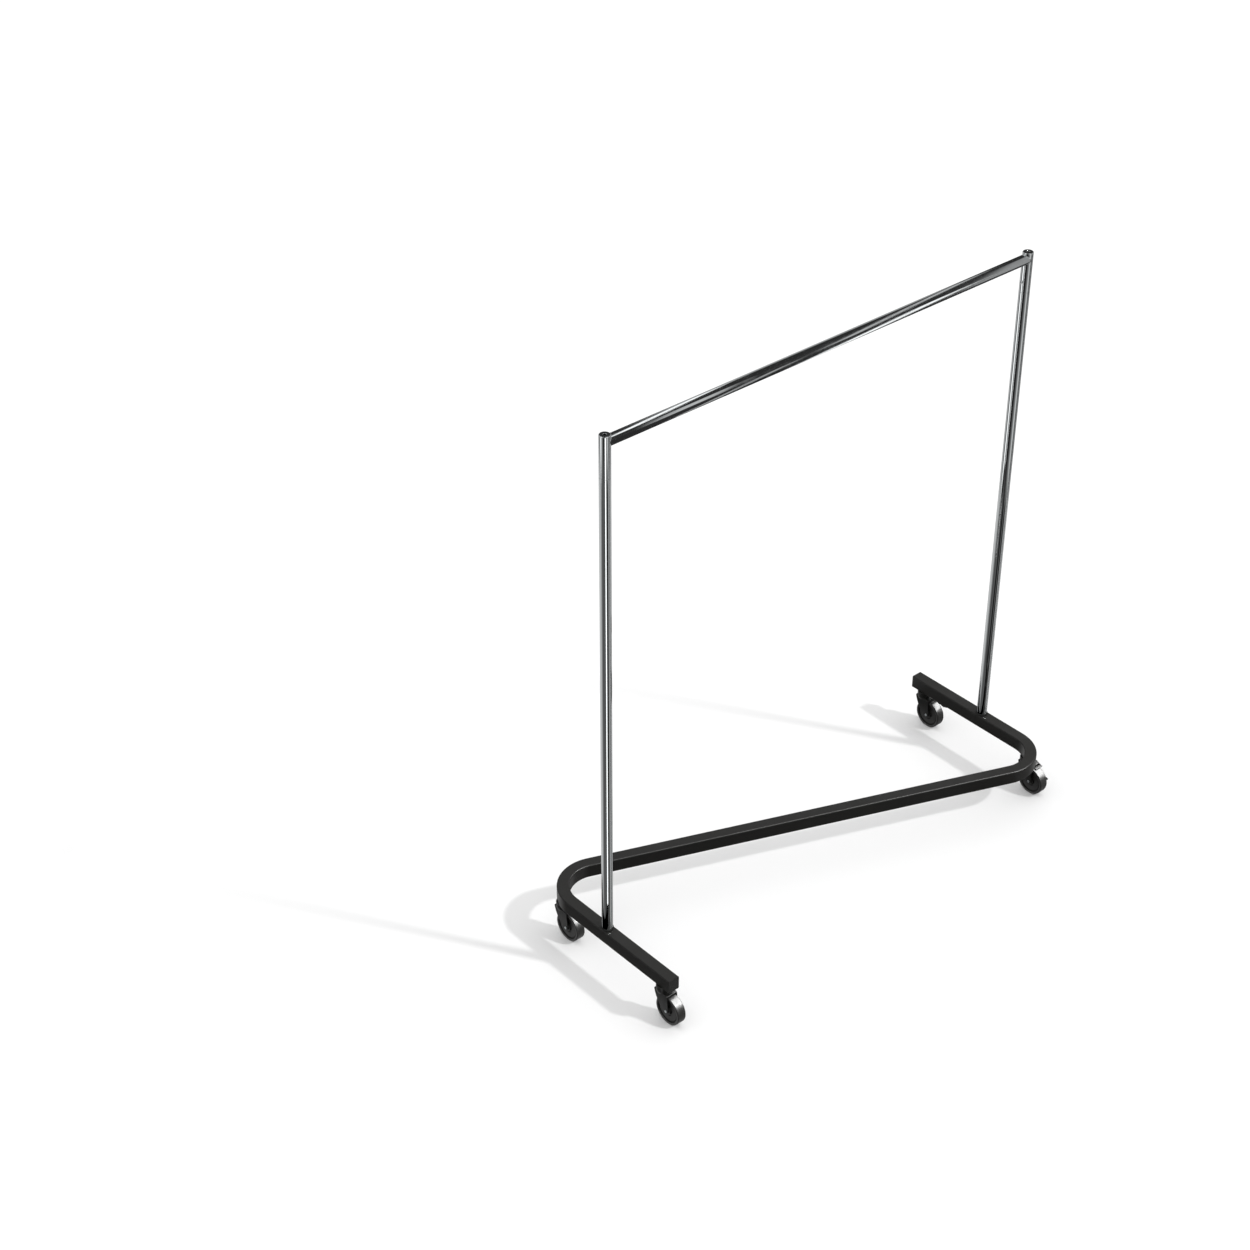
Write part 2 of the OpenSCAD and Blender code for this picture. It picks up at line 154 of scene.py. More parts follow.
def turned(outline, place, steps=96):     # a lathe shape about its own Z, put in place by a matrix
    work = bmesh.new()
    rings = []
    for radius, height in outline:
        if radius < axisGap:
            rings.append([work.verts.new((0, 0, height * mm))] * steps)
            continue
        rings.append([work.verts.new((radius * mm * math.cos(2 * math.pi * k / steps),
                                      radius * mm * math.sin(2 * math.pi * k / steps), height * mm))
                      for k in range(steps)])
    onAxis = outline[0][0] < axisGap
    for i in range(len(rings) - (1 if onAxis else 0)):
        lower, upper = rings[i], rings[(i + 1) % len(rings)]
        for k in range(steps):
            n = (k + 1) % steps
            corners = list(dict.fromkeys((lower[k], lower[n], upper[n], upper[k])))
            if len(corners) > 2:
                work.faces.new(corners)
    outwards(work)
    work.transform(place)
    mesh = bpy.data.meshes.new("turned")
    work.to_mesh(mesh)
    work.free()
    return mesh


def centreOf(node):
    low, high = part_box(node)
    return (low.x + high.x) / 2, (low.y + high.y) / 2


def alongX(x, y, z, side=1):              # local Z points to +X, or to -X for side -1
    return Matrix.Translation((x, y, z)) @ Matrix.Rotation(math.radians(90 * side), 4, "Y")


def baked(holder):                        # the evaluated mesh of an object, which is then removed
    graph = bpy.context.evaluated_depsgraph_get()
    mesh = bpy.data.meshes.new_from_object(holder.evaluated_get(graph), depsgraph=graph)
    old = holder.data
    bpy.data.objects.remove(holder)
    bpy.data.meshes.remove(old)
    return mesh


def held(mesh, name="work"):
    holder = bpy.data.objects.new(name, mesh)
    scene.collection.objects.link(holder)
    return holder


def shaded(mesh, sharp=40):               # smooth, with flat faces kept flat beside small roundings
    mesh.shade_smooth()
    mesh.set_sharp_from_angle(angle=math.radians(sharp))
    holder = held(mesh)
    weights = holder.modifiers.new("weights", "WEIGHTED_NORMAL")
    weights.keep_sharp = True
    weights.weight = 100
    return baked(holder)


def softened(node, width, steps=2, angle=32):    # a merged copy of a CAD node with its edges eased
    work = bmesh.new()
    work.from_mesh(nodes[node].data)
    bmesh.ops.remove_doubles(work, verts=work.verts, dist=merge["cad"])
    bmesh.ops.dissolve_limit(work, angle_limit=math.radians(merge["flat"]), verts=work.verts,
                             edges=work.edges)
    mesh = bpy.data.meshes.new("softened")
    work.to_mesh(mesh)
    work.free()
    mesh.materials.clear()
    holder = held(mesh)
    ease = holder.modifiers.new("ease", "BEVEL")
    ease.limit_method = "ANGLE"
    ease.angle_limit = math.radians(angle)
    ease.width = width * mm
    ease.segments = steps
    ease.use_clamp_overlap = False        # short arc edges would hold every rounding down to theirs
    return shaded(baked(holder))


def addPiece(name, mesh, finish, body, slotName, *replaced):
    mesh.name = name
    mesh.materials.clear()
    mesh.materials.append(finishes[finish])
    piece = held(mesh, name)
    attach(piece, body)
    if replaced:
        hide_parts(*replaced)
    return piece


# ---- finishes ----

def chromePlate(name, stretch):
    # Decorative chrome on polished tube: a bright mirror, with faint drawing lines along the tube
    # and a thin haze that wiping leaves.
    finish, tree, shader, place = newFinish(name, Metallic=1.0, Base_Color=linear("#dcdfe0"))
    lines = addNode(tree, "ShaderNodeMapping", {"Vector": place, "Scale": stretch})
    grain = addNode(tree, "ShaderNodeTexNoise", {"Vector": lines.outputs[0], "Scale": 1.0, "Detail": 3.0})
    haze = addNode(tree, "ShaderNodeTexNoise", {"Vector": place, "Scale": 1 / 0.045, "Detail": 4.0})
    mixed = addNode(tree, "ShaderNodeMix", {0: 0.35, 2: haze.outputs[0], 3: grain.outputs[0]})
    rough = addNode(tree, "ShaderNodeMapRange", {0: mixed.outputs[0], 1: 0.35, 2: 0.7, 3: 0.025, 4: 0.075})
    bump = addNode(tree, "ShaderNodeBump", {"Strength": 0.06, "Distance": 0.00002,
                                            "Height": grain.outputs[0]})
    tree.links.new(rough.outputs[0], shader.inputs["Roughness"])
    tree.links.new(bump.outputs[0], shader.inputs["Normal"])
    return finish


def blackPowderCoat():
    # Satin black powder paint on steel tube: a fine orange peel and small flecks, drawn a little
    # coarse so that they show, with cloudy patches where hands have rubbed it smoother and lighter.
    finish, tree, shader, place = newFinish("satinBlackPowderCoat", IOR=1.5, Specular_IOR_Level=0.3)
    peel = addNode(tree, "ShaderNodeTexNoise", {"Vector": place, "Scale": 1 / 0.0022, "Detail": 2.0})
    fleck = addNode(tree, "ShaderNodeTexNoise", {"Vector": place, "Scale": 1 / 0.0007, "Detail": 1.0})
    rub = addNode(tree, "ShaderNodeTexNoise", {"Vector": place, "Scale": 1 / 0.09, "Detail": 5.0})
    tone = addNode(tree, "ShaderNodeMix", {0: fleck.outputs[0], 6: linear("#111110"), 7: linear("#1f1e1c")},
                   data_type="RGBA")
    rubbed = addNode(tree, "ShaderNodeMapRange", {0: rub.outputs[0], 1: 0.5, 2: 0.75, 3: 0.0, 4: 0.5})
    colour = addNode(tree, "ShaderNodeMix", {0: rubbed.outputs[0], 6: tone.outputs[2], 7: linear("#262523")},
                     data_type="RGBA")
    rough = addNode(tree, "ShaderNodeMapRange", {0: rub.outputs[0], 1: 0.3, 2: 0.7, 3: 0.42, 4: 0.32})
    bump = addNode(tree, "ShaderNodeBump", {"Strength": 0.35, "Distance": 0.00008,
                                            "Height": peel.outputs[0]})
    tree.links.new(colour.outputs[2], shader.inputs["Base Color"])
    tree.links.new(rough.outputs[0], shader.inputs["Roughness"])
    tree.links.new(bump.outputs[0], shader.inputs["Normal"])
    return finish


def blackPlastic(name, dark, light, roughLow, roughHigh, grainSize):
    # Moulded black plastic: spark-eroded grain from the mould, a slightly cloudy black.
    finish, tree, shader, place = newFinish(name, IOR=1.49, Specular_IOR_Level=0.35)
    grain = addNode(tree, "ShaderNodeTexVoronoi", {"Vector": place, "Scale": 1 / (grainSize * mm)})
    cloud = addNode(tree, "ShaderNodeTexNoise", {"Vector": place, "Scale": 1 / 0.012, "Detail": 4.0})
    tone = addNode(tree, "ShaderNodeMix", {0: cloud.outputs[0], 6: linear(dark), 7: linear(light)},
                   data_type="RGBA")
    rough = addNode(tree, "ShaderNodeMapRange", {0: cloud.outputs[0], 1: 0.3, 2: 0.7,
                                                 3: roughLow, 4: roughHigh})
    bump = addNode(tree, "ShaderNodeBump", {"Strength": 0.25, "Distance": 0.00005,
                                            "Height": grain.outputs[0]})
    tree.links.new(tone.outputs[2], shader.inputs["Base Color"])
    tree.links.new(rough.outputs[0], shader.inputs["Roughness"])
    tree.links.new(bump.outputs[0], shader.inputs["Normal"])
    return finish


def blackCoatedSteel():
    # Pressed steel with a thin black dip coat: smoother and a little glossier than the powder paint,
    # with shallow press ripples.
    finish, tree, shader, place = newFinish("blackDippedPressedSteel", IOR=1.5, Specular_IOR_Level=0.4)
    ripple = addNode(tree, "ShaderNodeTexNoise", {"Vector": place, "Scale": 1 / 0.006, "Detail": 3.0})
    tone = addNode(tree, "ShaderNodeMix", {0: ripple.outputs[0], 6: linear("#121211"), 7: linear("#1f1f1d")},
                   data_type="RGBA")
    rough = addNode(tree, "ShaderNodeMapRange", {0: ripple.outputs[0], 1: 0.3, 2: 0.7, 3: 0.28, 4: 0.4})
    bump = addNode(tree, "ShaderNodeBump", {"Strength": 0.2, "Distance": 0.0001,
                                            "Height": ripple.outputs[0]})
    tree.links.new(tone.outputs[2], shader.inputs["Base Color"])
    tree.links.new(rough.outputs[0], shader.inputs["Roughness"])
    tree.links.new(bump.outputs[0], shader.inputs["Normal"])
    return finish


def tyreRubber():
    # Hard black thermoplastic rubber, polished by rolling: fine rings from rolling run round the
    # tread, across X, and break up a strong soft shine.
    finish, tree, shader, place = newFinish("blackTyreRubber", IOR=1.52, Specular_IOR_Level=0.6)
    lines = addNode(tree, "ShaderNodeMapping", {"Vector": place, "Scale": (1 / 0.0011, 1 / 0.03, 1 / 0.03)})
    rings = addNode(tree, "ShaderNodeTexNoise", {"Vector": lines.outputs[0], "Scale": 1.0, "Detail": 2.0})
    dust = addNode(tree, "ShaderNodeTexNoise", {"Vector": place, "Scale": 1 / 0.008, "Detail": 6.0})
    tone = addNode(tree, "ShaderNodeMix", {0: dust.outputs[0], 6: linear("#121211"), 7: linear("#232220")},
                   data_type="RGBA")
    rough = addNode(tree, "ShaderNodeMapRange", {0: rings.outputs[0], 1: 0.3, 2: 0.7, 3: 0.26, 4: 0.44})
    bump = addNode(tree, "ShaderNodeBump", {"Strength": 0.3, "Distance": 0.00006,
                                            "Height": rings.outputs[0]})
    tree.links.new(tone.outputs[2], shader.inputs["Base Color"])
    tree.links.new(rough.outputs[0], shader.inputs["Roughness"])
    tree.links.new(bump.outputs[0], shader.inputs["Normal"])
    return finish


def steel(name, dark, light, roughLow, roughHigh, patch):
    # Bare or plated steel: small cloudy patches where the plating took differently.
    finish, tree, shader, place = newFinish(name, Metallic=1.0)
    cloud = addNode(tree, "ShaderNodeTexNoise", {"Vector": place, "Scale": 1 / (patch * mm), "Detail": 5.0})
    tone = addNode(tree, "ShaderNodeMix", {0: cloud.outputs[0], 6: linear(dark), 7: linear(light)},
                   data_type="RGBA")
    rough = addNode(tree, "ShaderNodeMapRange", {0: cloud.outputs[0], 1: 0.3, 2: 0.7,
                                                 3: roughLow, 4: roughHigh})
    bump = addNode(tree, "ShaderNodeBump", {"Strength": 0.15, "Distance": 0.00003,
                                            "Height": cloud.outputs[0]})
    tree.links.new(tone.outputs[2], shader.inputs["Base Color"])
    tree.links.new(rough.outputs[0], shader.inputs["Roughness"])
    tree.links.new(bump.outputs[0], shader.inputs["Normal"])
    return finish


finishes = {
    "chromeUp": chromePlate("chromePlateUpright", (1 / 0.0012, 1 / 0.0012, 1 / 0.12)),
    "chromeAcross": chromePlate("chromePlateBar", (1 / 0.12, 1 / 0.0012, 1 / 0.0012)),
    "powder": blackPowderCoat(),
    "dipped": blackCoatedSteel(),
    "capPlastic": blackPlastic("blackMouldedPlastic", "#111110", "#1c1c1a", 0.28, 0.4, 0.6),
    "ringPlastic": blackPlastic("blackMattFootRing", "#0f0f0e", "#191918", 0.55, 0.7, 0.6),
    "glossyCap": blackPlastic("blackGlossyEndCap", "#111110", "#1c1c1a", 0.2, 0.3, 0.6),
    "wheelPlastic": blackPlastic("blackWheelNylon", "#131312", "#201f1d", 0.3, 0.42, 0.5),
    "rubber": tyreRubber(),
    "zinc": steel("brightZincPlate", "#a9b0b2", "#d0d5d6", 0.22, 0.38, 3),
    "plain": steel("oiledPlainSteel", "#77756f", "#96948e", 0.3, 0.5, 4),
    "spring": steel("blueSpringSteel", "#6c7076", "#8e9299", 0.2, 0.35, 2),
    "bearing": steel("polishedBearingSteel", "#c2c5c7", "#d8dadb", 0.08, 0.16, 1.5),
}
slotFinish = {
    "chrome_plate": "chromeUp", "black_powder_coat": "powder", "black_coated_steel": "dipped",
    "black_moulded_plastic": "capPlastic", "wheel_plastic": "wheelPlastic", "tyre_rubber": "rubber",
    "zinc_plated_steel": "zinc", "plain_steel": "plain", "spring_steel": "spring",
    "bearing_steel": "bearing",
}


def dressFrame():                         # every CAD node gets its finish, whether it stays or not
    for part in frame["record"]["subparts"]:
        mesh = nodes[part["node"]].data
        mesh.materials.clear()
        mesh.materials.append(finishes[slotFinish[part["material_slot"]]])


dressFrame()
print("finishes made:", len(finishes))

# ---- base tube ----

tubeLow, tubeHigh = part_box("base_tube")
postLow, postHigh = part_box("right_upright")
postX = (postLow.x + postHigh.x) / 2
baseSlant = 22      # degrees from the line through both posts to the long base bar
base = {
    "tube width": 35 * mm, "tube height": tubeHigh.z - tubeLow.z, "edge radius": 3 * mm,
    "wall": 2 * mm, "post line": postX, "leg end": tubeHigh.y, "bend radius": 100 * mm,
    "corner offset": postX * math.tan(math.radians(baseSlant)),
    "middle height": (tubeHigh.z + tubeLow.z) / 2, "bend steps": 40, "edge steps": 5,
}
boltHole = {"stem": 5, "stem depth": 12, "foot bolt": 4, "foot depth": 60, "clearance": 0.2, "sides": 32}


def baseTubeTree():
    tree = bpy.data.node_groups.new("baseTubeSweep", "GeometryNodeTree")
    tree.interface.new_socket("Geometry", in_out="OUTPUT", socket_type="NodeSocketGeometry")
    for name in ("tube width", "tube height", "edge radius", "post line", "leg end", "bend radius",
                 "corner offset", "middle height"):
        tree.interface.new_socket(name, in_out="INPUT", socket_type="NodeSocketFloat")
    for name in ("bend steps", "edge steps"):
        tree.interface.new_socket(name, in_out="INPUT", socket_type="NodeSocketInt")
    tree.interface.new_socket("finish", in_out="INPUT", socket_type="NodeSocketMaterial")
    given = addNode(tree, "NodeGroupInput").outputs
    minus = {name: addNode(tree, "ShaderNodeMath", {0: given[name], 1: -1.0}, operation="MULTIPLY").outputs[0]
             for name in ("post line", "leg end", "corner offset")}
    route = [(minus["post line"], minus["leg end"]), (minus["post line"], given["corner offset"]),
             (given["post line"], minus["corner offset"]), (given["post line"], given["leg end"])]
    stops = [addNode(tree, "ShaderNodeCombineXYZ", {0: x, 1: y, 2: given["middle height"]}).outputs[0]
             for x, y in route]
    line = addNode(tree, "GeometryNodeMeshLine", {"Count": len(stops)})
    choose = addNode(tree, "GeometryNodeIndexSwitch", data_type="VECTOR")
    while len(choose.index_switch_items) < len(stops):
        choose.index_switch_items.new()
    tree.links.new(addNode(tree, "GeometryNodeInputIndex").outputs[0], choose.inputs[0])
    for i, stop in enumerate(stops):
        tree.links.new(stop, choose.inputs[i + 1])
    corners = addNode(tree, "GeometryNodeSetPosition", {"Geometry": line.outputs[0],
                                                        "Position": choose.outputs[0]})
    path = addNode(tree, "GeometryNodeMeshToCurve", {0: corners.outputs[0]})
    bent = addNode(tree, "GeometryNodeFilletCurve", {"Curve": path.outputs[0], "Count": given["bend steps"],
                                                     "Radius": given["bend radius"]}, mode="POLY")
    level = addNode(tree, "GeometryNodeSetCurveNormal", {"Curve": bent.outputs[0]}, mode="Z_UP")
    box = addNode(tree, "GeometryNodeCurvePrimitiveQuadrilateral", {"Width": given["tube width"],
                                                                    "Height": given["tube height"]})
    section = addNode(tree, "GeometryNodeFilletCurve", {"Curve": box.outputs[0], "Count": given["edge steps"],
                                                        "Radius": given["edge radius"]}, mode="POLY")
    sweep = addNode(tree, "GeometryNodeCurveToMesh", {"Curve": level.outputs[0],
                                                      "Profile Curve": section.outputs[0]})
    real = addNode(tree, "GeometryNodeRealizeInstances", {0: sweep.outputs[0]})
    done = addNode(tree, "GeometryNodeSetMaterial", {"Geometry": real.outputs[0],
                                                     "Material": given["finish"]})
    addNode(tree, "NodeGroupOutput", {0: done.outputs[0]})
    return tree


def grown(tree, values, name):            # an object whose mesh a node tree makes
    holder = held(bpy.data.meshes.new(name), name)
    modifier = holder.modifiers.new("grow", "NODES")
    modifier.node_group = tree
    for item in tree.interface.items_tree:
        if item.in_out == "INPUT" and item.name in values:
            modifier[item.identifier] = values[item.name]
    return holder


def boltHoles(holder):                    # round holes for the caster stems and the foot bolts
    work = bmesh.new()
    holes = [(*centreOf(name + "_stem"), tubeLow.z, boltHole["stem"], boltHole["stem depth"])
             for name in casterNames]
    holes += [(side * postX, 0, base["middle height"], boltHole["foot bolt"], boltHole["foot depth"])
              for side in (-1, 1)]
    for x, y, z, radius, depth in holes:
        wide = (radius + boltHole["clearance"]) * mm
        bmesh.ops.create_cone(work, cap_ends=True, segments=boltHole["sides"], depth=depth * mm,
                              radius1=wide, radius2=wide, matrix=Matrix.Translation((x, y, z)))
    mesh = bpy.data.meshes.new("holes")
    work.to_mesh(mesh)
    work.free()
    cutter = held(mesh, "holes")
    cut = holder.modifiers.new("cut", "BOOLEAN")
    cut.object = cutter
    cut.solver = "EXACT"
    return cutter


def makeBaseTube():
    outer = baked(grown(baseTubeTree(), {**base, "finish": finishes["powder"]}, "baseSweep"))
    work = bmesh.new()
    work.from_mesh(outer)
    topFace = max(work.faces, key=lambda face: face.calc_center_median().z)
    if topFace.normal.z < 0:              # the sweep has open ends, so its top tells which way it points
        bmesh.ops.reverse_faces(work, faces=work.faces)
    work.to_mesh(outer)
    work.free()
    holder = held(outer)
    wall = holder.modifiers.new("wall", "SOLIDIFY")
    wall.thickness = base["wall"]
    wall.offset = -1
    wall.use_even_offset = True
    cutter = boltHoles(holder)
    mesh = baked(holder)
    bpy.data.objects.remove(cutter)
    addPiece("baseTube", shaded(mesh), "powder", "frame", "black_powder_coat", "base_tube")


makeBaseTube()
print("base tube swept")

# ---- leg caps and foot rings ----

legCap = {"edge": 1.4, "edge steps": 4}
footRing = {"radius": 17.5, "height": 4, "bore": 15.05, "floor": 1, "bolt hole": 4.2, "lip": 0.9, "edge": 0.3}


def makeLegCaps():
    for side in ("left", "right"):
        node = side + "_leg_cap"
        addPiece(side + "LegCap", softened(node, legCap["edge"], legCap["edge steps"]), "glossyCap",
                 "frame", "black_moulded_plastic", node)


def makeFootRings():
    hole, bore, radius = footRing["bolt hole"], footRing["bore"], footRing["radius"]
    floor, height, edge = footRing["floor"], footRing["height"], footRing["edge"]
    outline = roundedLine([(hole, 0, 0), (radius, 0, edge), (radius, height, footRing["lip"]),
                           (bore, height, edge), (bore, floor, 0), (hole, floor, 0)], closed=True)
    for side in ("left", "right"):
        node = side + "_foot_ring"
        x, y = centreOf(node)
        place = Matrix.Translation((x, y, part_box(node)[0].z))
        addPiece(side + "FootRing", shaded(turned(outline, place)), "ringPlastic", "frame",
                 "black_moulded_plastic", node)


makeLegCaps()
makeFootRings()
print("leg caps and foot rings made")

# ---- uprights, top posts and caps ----

post = {"radius": 15, "wall": 1.5, "edge": 0.35, "steps": 128, "button hole": 4.08, "hole depth": 30,
        "hole steps": 48}
wallTest = {"upright": 0.05, "radial": 0.98}    # cosines that tell the round wall from the other faces
topCap = {"hole": 4.25, "bevel": 1.4, "plate": 3, "hole bevel": 0.7, "depth": 15}


def tubeMesh(node):
    low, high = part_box(node)
    length = (high.z - low.z) / mm
    inner, outer, edge = post["radius"] - post["wall"], post["radius"], post["edge"]
    outline = roundedLine([(inner, 0, edge), (outer, 0, edge), (outer, length, edge), (inner, length, edge)],
                          closed=True, steps=3)
    return turned(outline, Matrix.Translation(((low.x + high.x) / 2, 0, low.z)), post["steps"])


def radialNormals(mesh, x):               # the true normals of the round wall, beside the button hole too
    mesh.shade_smooth()
    normals = []
    for face in mesh.polygons:
        upright = abs(face.normal.z) < wallTest["upright"]
        away = Vector((face.center.x - x, face.center.y, 0)).normalized()
        onWall = upright and abs(face.normal.dot(away)) > wallTest["radial"]
        for corner in face.vertices:
            spot = mesh.vertices[corner].co
            out = Vector((spot.x - x, spot.y, 0)).normalized()
            if face.normal.dot(away) < 0:
                out.negate()
            normals.append(out if onWall else face.normal)
    mesh.normals_split_custom_set(normals)
    return mesh


def makePosts():
    for side, sign in (("left", -1), ("right", 1)):
        node = side + "_upright"
        addPiece(side + "Upright", shaded(tubeMesh(node)), "chromeUp", "frame", "chrome_plate", node)
        node = side + "_top_post"
        buttonLow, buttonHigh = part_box(side + "_snap_button")
        x = sign * postX
        wide, deep = post["button hole"], post["hole depth"]
        hole = turned([(0, 0), (wide, 0), (wide, deep), (0, deep)],
                      alongX(x, 0, (buttonLow.z + buttonHigh.z) / 2, -sign), post["hole steps"])
        cutter = held(hole, "buttonHole")
        holder = held(tubeMesh(node))
        cut = holder.modifiers.new("cut", "BOOLEAN")
        cut.object = cutter
        cut.solver = "EXACT"
        mesh = radialNormals(baked(holder), x)
        bpy.data.objects.remove(cutter)
        addPiece(side + "TopPost", mesh, "chromeUp", "frame", "chrome_plate", node)


def makeTopCaps():
    inner, outer, hole = post["radius"] - post["wall"], post["radius"], topCap["hole"]
    plate, depth, bevel, holeBevel = topCap["plate"], topCap["depth"], topCap["bevel"], topCap["hole bevel"]
    outline = roundedLine([
        (hole, -depth, 0.3), (inner, -depth, 0.5), (inner, -plate, 0), (outer, -plate, 0.2),
        (outer, -bevel, 0.5), (outer - bevel, 0, 0.5), (hole + holeBevel, 0, 0.2), (hole, -holeBevel, 0.2)],
        closed=True, steps=4)
    for side, sign in (("left", -1), ("right", 1)):
        node = side + "_top_cap"
        place = Matrix.Translation((sign * postX, 0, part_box(node)[1].z))
        addPiece(side + "TopCap", shaded(turned(outline, place)), "chromeUp", "frame", "chrome_plate", node)


makePosts()
makeTopCaps()
print("uprights, top posts and caps made")

# ---- hanging bar ----

bar = {"radius": 14.5, "wall": 1.5, "weld": 1.1, "weld steps": 5, "steps": 128, "cope margin": 0.15,
       "sharp": 60}


def makeHangingBar():                     # its ends are coped round the posts and end in a small weld
    low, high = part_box("hanging_bar")
    middle = (low.z + high.z) / 2
    weld = [(bar["radius"] + bar["weld"] * (1 - math.sin(a)), bar["weld"] * (1 - math.cos(a)))
            for a in (math.pi / 2 * k / bar["weld steps"] for k in range(bar["weld steps"] + 1))]
    inner = (bar["radius"] - bar["wall"], 0)
    limit = post["radius"] - bar["cope margin"]
    stations = [(r, inset, -1) for r, inset in [inner, *weld]]
    stations += [(r, inset, 1) for r, inset in [*reversed(weld), inner]]
    work = bmesh.new()
    columns = []
    for k in range(bar["steps"]):
        angle = 2 * math.pi * k / bar["steps"]
        column = []
        for radius, inset, end in stations:
            y = max(-limit, min(limit, radius * math.cos(angle)))
            reach = postX / mm - math.sqrt(post["radius"] ** 2 - y ** 2) - inset
            column.append(work.verts.new((end * reach * mm, y * mm, middle + radius * mm * math.sin(angle))))
        columns.append(column)
    for k, column in enumerate(columns):
        beside = columns[(k + 1) % len(columns)]
        for i in range(len(stations)):
            n = (i + 1) % len(stations)
            work.faces.new((column[i], column[n], beside[n], beside[i]))
    outwards(work)
    mesh = bpy.data.meshes.new("hangingBar")
    work.to_mesh(mesh)
    work.free()
    addPiece("hangingBar", shaded(mesh, bar["sharp"]), "chromeAcross", "frame", "chrome_plate", "hanging_bar")


makeHangingBar()
print("hanging bar made")

# ---- snap buttons ----

button = {"radius": 4, "dome": 1.4, "flange": 5.2, "flange thickness": 1.4, "flange edge": 0.3,
          "steps": 48, "travel": 4.2, "spring edge": 0.1}


def makeButtons():
    flange, thick, edge = button["flange"], button["flange thickness"], button["flange edge"]
    for side, sign in (("left", -1), ("right", 1)):
        node = side + "_snap_button"
        low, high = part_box(node)
        length = (high.x - low.x) / mm
        outline = roundedLine([
            (0, 0, 0), (flange, 0, edge), (flange, thick, edge), (button["radius"], thick, 0),
            (button["radius"], length, button["dome"]), (0, length, 0)], closed=False, steps=8)
        start = high.x if sign > 0 else low.x
        place = alongX(start, 0, (low.z + high.z) / 2, -sign)
        addPiece(side + "SnapButton", shaded(turned(outline, place, button["steps"])), "chromeUp",
                 side + "_latch", "chrome_plate", node)
        node = side + "_button_spring"    # pressed flat by its button against the far wall of the post
        low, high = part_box(node)
        spring = addPiece(side + "ButtonSpring", softened(node, button["spring edge"], steps=1), "spring",
                          "frame", "spring_steel", node)
        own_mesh(spring)


makeButtons()
print("snap buttons and their springs made")

# ---- casters ----

caster = {
    "head radius": 21.5, "head height": 8, "swivel gap": 0.6, "kingpin radius": 4,
    "kingpin head radius": 7, "kingpin head height": 2.2, "kingpin length": 20.2, "stem radius": 5,
    "stem length": 22, "race radius": 15, "race gap": 0.1, "race steps": 10, "ball radius": 2,
    "ball count": 16, "ball sides": 20, "ball rings": 12, "fork edge": 0.8, "fork edge steps": 3,
}
wheel = {
    "rim radius": 36, "web half": 10.5, "groove half": 8.5, "groove width": 2, "ring outer": 17, "slope": 1,
    "hub radius": 12, "hub half": 14.2, "bush radius": 5, "bush half": 14.6, "bush edge": 0.2, "play": 0.08,
}
tyre = {"radius": 44, "half": 13.5, "tread half": 9, "crown": 0.25, "edge": 3, "bead": 1, "side start": 2.5,
        "side drop": 0.4, "steps": 128}
axle = {"radius": 3, "head radius": 4, "head height": 1.8, "head dome": 1.2, "fork half": 18, "steps": 48}


def stemOutline():                        # from the kingpin's head up to the top of the stem
    head, stem = caster["head radius"], caster["stem radius"]
    pin, pinHead = caster["kingpin radius"], caster["kingpin head radius"]
    under = -caster["head height"]
    pinLow = under - caster["kingpin length"]
    pinHeadTop = pinLow + caster["kingpin head height"]
    raceY = under - caster["swivel gap"] / 2
    groove = caster["ball radius"] + caster["race gap"]
    rise = math.asin((under - raceY) / groove)
    steps = caster["race steps"]
    turns = [rise + (math.pi - 2 * rise) * k / steps for k in range(steps + 1)]
    race = [(caster["race radius"] - groove * math.cos(turn), raceY + groove * math.sin(turn), 0)
            for turn in turns]
    return roundedLine([
        (0, pinLow, 0), (pinHead, pinLow, 0.4), (pinHead, pinHeadTop, 0.4), (pin, pinHeadTop, 0),
        (pin, under, 0), *race, (head, under, 0.8), (head, 0, 1.6), (stem, 0, 0),
        (stem, caster["stem length"], 0.8), (0, caster["stem length"], 0)], closed=False, steps=4)


def mirrored(half):                       # an outline and its mirror image in the wheel's middle plane
    return half + [(r, -h, rounding) for r, h, rounding in reversed(half)]


def wheelOutline():
    hub, ring, rim = wheel["hub radius"], wheel["ring outer"], wheel["rim radius"]
    groove, slope = wheel["groove width"], wheel["slope"]
    low, high = wheel["groove half"], wheel["web half"]
    half = [(wheel["bush radius"], wheel["hub half"], 0.2), (hub, wheel["hub half"], 0.8),
            (hub + slope, low, 0.8), (ring - slope, low, 0.8), (ring, high, 0.6),
            (rim - groove - slope, high, 0.6), (rim - groove, low, 0.5), (rim, low, 0)]
    return roundedLine(mirrored(half), closed=True, steps=3)


def tyreOutline():
    rim, bead, side = wheel["rim radius"], tyre["bead"], tyre["half"]
    half = [(rim, wheel["web half"] + bead, 0.3), (rim + bead, side - tyre["side drop"], 0.4),
            (rim + tyre["side start"], side, 0.4), (tyre["radius"] - tyre["crown"], side, tyre["edge"]),
            (tyre["radius"], tyre["tread half"], 2)]
    return roundedLine(mirrored(half), closed=True, steps=6)


def axleOutline():
    out = axle["fork half"]
    top = out + axle["head height"]
    half = [(0, top, 0), (axle["head radius"], top, axle["head dome"]), (axle["head radius"], out, 0.1),
            (axle["radius"], out, 0)]
    return roundedLine(mirrored(half), closed=False)


def bushOutline():
    inner, outer = axle["radius"] + wheel["play"], wheel["bush radius"]
    half, edge = wheel["bush half"], wheel["bush edge"]
    return roundedLine([(inner, -half, edge), (outer, -half, edge), (outer, half, edge), (inner, half, edge)],
                       closed=True, steps=2)


